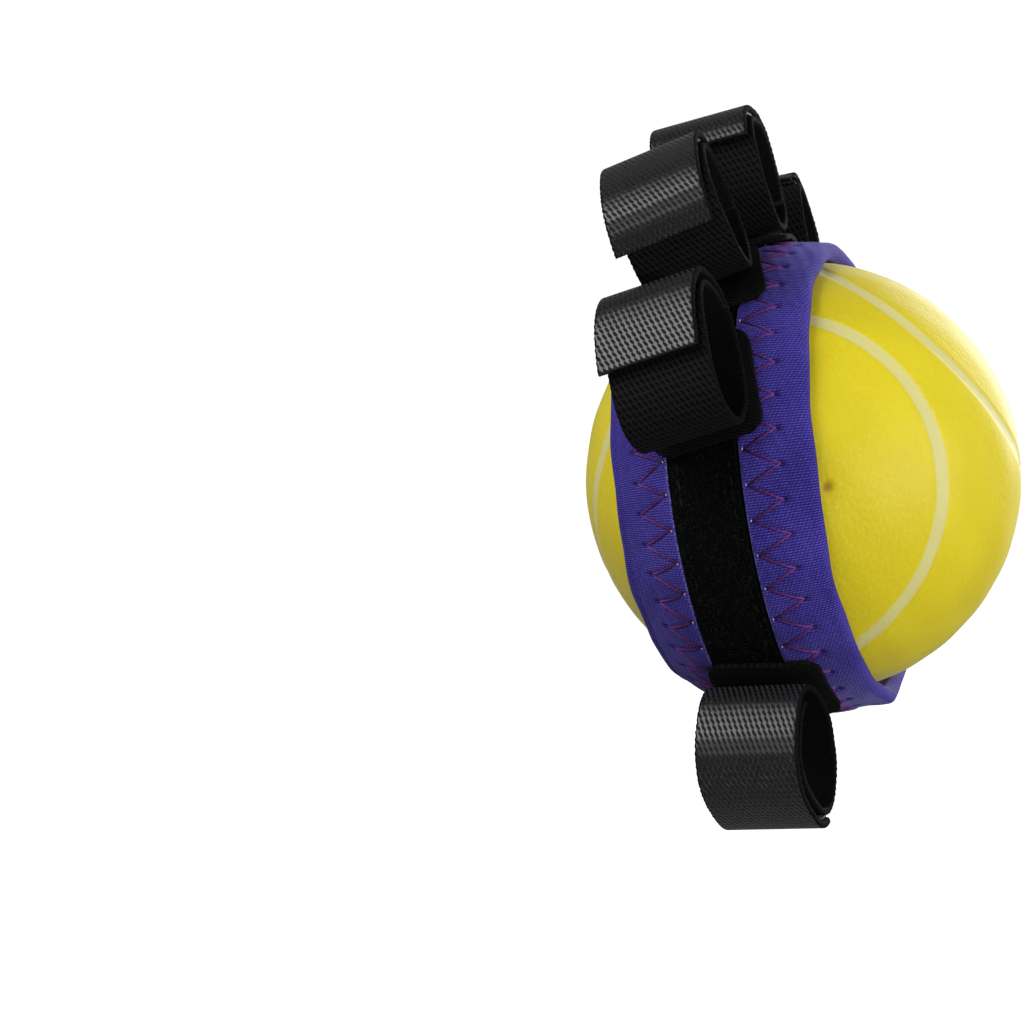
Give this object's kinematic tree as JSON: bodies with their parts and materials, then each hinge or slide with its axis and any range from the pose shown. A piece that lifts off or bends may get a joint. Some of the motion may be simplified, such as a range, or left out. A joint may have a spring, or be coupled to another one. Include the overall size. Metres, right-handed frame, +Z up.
{
  "type": "finger exercise ball",
  "caption": "Soft squeeze ball in a sewn stretch band with a fuzzy fastening strip, to which hook-and-loop finger loops stick around the band.",
  "frame": {"origin": "centre of the ball", "axes": "+X along the band's axis from the palm side to the fingertip side; -Y toward the side that the index finger curls over; +Z up, from the thumb loop toward the middle and ring loops"},
  "size_m": [0.07, 0.0928, 0.1148],
  "materials": {
    "foam": "moulded foam with a fine pebbled skin, soft sheen",
    "neoprene": "knit-faced neoprene, matte, fine ribs",
    "zigzag_thread": "sewing thread, slight sheen",
    "pile": "fuzzy loop pile, matte",
    "webbing": "knitted synthetic tape with a grey sheen",
    "hook_tape": "moulded hook tape, matte",
    "black_thread": "sewing thread"
  },
  "bodies": {
    "ball": {"foam_ball": "foam"},
    "band": {"neoprene_band": "neoprene", "pile_strip": "pile", "zigzag_thread_palm_side": "zigzag_thread", "zigzag_thread_finger_side": "zigzag_thread", "strip_stitch_palm_side": "black_thread", "strip_stitch_finger_side": "black_thread", "band_join_stitch": "zigzag_thread"},
    "thumb_loop": {"thumb_hook_tab": "hook_tape", "thumb_strap": "webbing", "thumb_box_stitch": "black_thread"},
    "thumb_tail": {"thumb_pull_tail": "webbing", "thumb_tail_hooks": "hook_tape"},
    "index_loop": {"index_hook_tab": "hook_tape", "index_strap": "webbing", "index_box_stitch": "black_thread"},
    "index_tail": {"index_pull_tail": "webbing", "index_tail_hooks": "hook_tape"},
    "middle_loop": {"middle_hook_tab": "hook_tape", "middle_strap": "webbing", "middle_box_stitch": "black_thread"},
    "middle_tail": {"middle_pull_tail": "webbing", "middle_tail_hooks": "hook_tape"},
    "ring_loop": {"ring_hook_tab": "hook_tape", "ring_strap": "webbing", "ring_box_stitch": "black_thread"},
    "ring_tail": {"ring_pull_tail": "webbing", "ring_tail_hooks": "hook_tape"},
    "little_loop": {"little_hook_tab": "hook_tape", "little_strap": "webbing", "little_box_stitch": "black_thread"},
    "little_tail": {"little_pull_tail": "webbing", "little_tail_hooks": "hook_tape"}
  },
  "joints": [
    {"name": "band_turn", "type": "hinge", "parent": "ball", "child": "band", "pos_m": [0, 0, 0], "axis": [1, 0, 0], "continuous": true},
    {"name": "thumb_loop_shift", "type": "hinge", "parent": "band", "child": "thumb_loop", "pos_m": [0, 0, 0], "axis": [1, 0, 0], "range_deg": [-28, 60]},
    {"name": "thumb_tail_open", "type": "hinge", "parent": "thumb_loop", "child": "thumb_tail", "pos_m": [-0.00516, -0.0387, -0.04197], "axis": [-0.9976, 0.037, 0.0592], "range_deg": [0, 110]},
    {"name": "index_loop_shift", "type": "hinge", "parent": "band", "child": "index_loop", "pos_m": [0, 0, 0], "axis": [1, 0, 0], "range_deg": [-1.2, 20]},
    {"name": "index_tail_open", "type": "hinge", "parent": "index_loop", "child": "index_tail", "pos_m": [-0.00868, -0.04617, 0.03121], "axis": [-0.9865, 0.0256, -0.1617], "range_deg": [0, 110]},
    {"name": "middle_loop_shift", "type": "hinge", "parent": "band", "child": "middle_loop", "pos_m": [0, 0, 0], "axis": [1, 0, 0], "range_deg": [-1.2, 1.2]},
    {"name": "middle_tail_open", "type": "hinge", "parent": "middle_loop", "child": "middle_tail", "pos_m": [-0.01101, -0.02312, 0.05305], "axis": [-0.9649, -0.1131, -0.237], "range_deg": [0, 110]},
    {"name": "ring_loop_shift", "type": "hinge", "parent": "band", "child": "ring_loop", "pos_m": [0, 0, 0], "axis": [1, 0, 0], "range_deg": [-1.2, 1.2]},
    {"name": "ring_tail_open", "type": "hinge", "parent": "ring_loop", "child": "ring_tail", "pos_m": [-0.00868, 0.00969, 0.05692], "axis": [-0.9881, -0.1035, -0.1135], "range_deg": [0, 110]},
    {"name": "little_loop_shift", "type": "hinge", "parent": "band", "child": "little_loop", "pos_m": [0, 0, 0], "axis": [1, 0, 0], "range_deg": [-50, 1.2]},
    {"name": "little_tail_open", "type": "hinge", "parent": "little_loop", "child": "little_tail", "pos_m": [-0.00802, 0.03625, 0.04135], "axis": [-0.9921, -0.114, -0.0525], "range_deg": [0, 110]}
  ]
}
